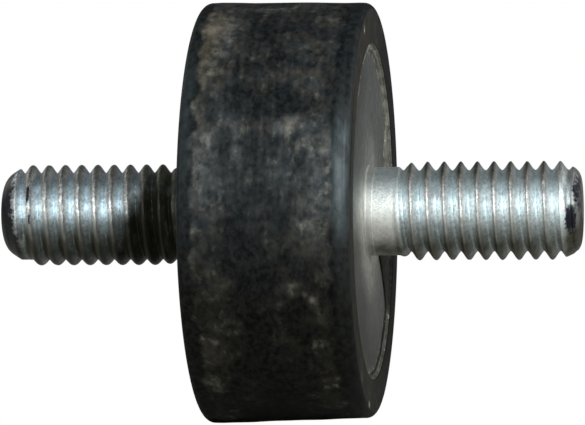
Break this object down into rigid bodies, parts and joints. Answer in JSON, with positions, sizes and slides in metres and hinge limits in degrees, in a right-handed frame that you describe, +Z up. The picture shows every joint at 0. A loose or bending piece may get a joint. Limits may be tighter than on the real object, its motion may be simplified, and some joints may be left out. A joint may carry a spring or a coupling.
{
  "type": "rubber radiator mount",
  "caption": "Rubber cylinder bonded round a steel plate at each end, with a threaded stud standing out of each plate, that carries a radiator and damps its vibration.",
  "frame": {"origin": "centre of the mount, on the axis of the studs and half way between their ends", "axes": "+X along the studs to the end where the moulded side is narrower, +Z up"},
  "size_m": [0.0556, 0.0404, 0.0404],
  "materials": {
    "rubber": "moulded black rubber with dusty grey scuffs",
    "plate_steel": "dull grey steel",
    "zinc_plate": "bright zinc plate on rolled steel, worn at the crests"
  },
  "bodies": {
    "root": {"rubber_block": "rubber", "left_plate": "plate_steel", "right_plate": "plate_steel", "left_stud": "zinc_plate", "right_stud": "zinc_plate"}
  },
  "joints": []
}
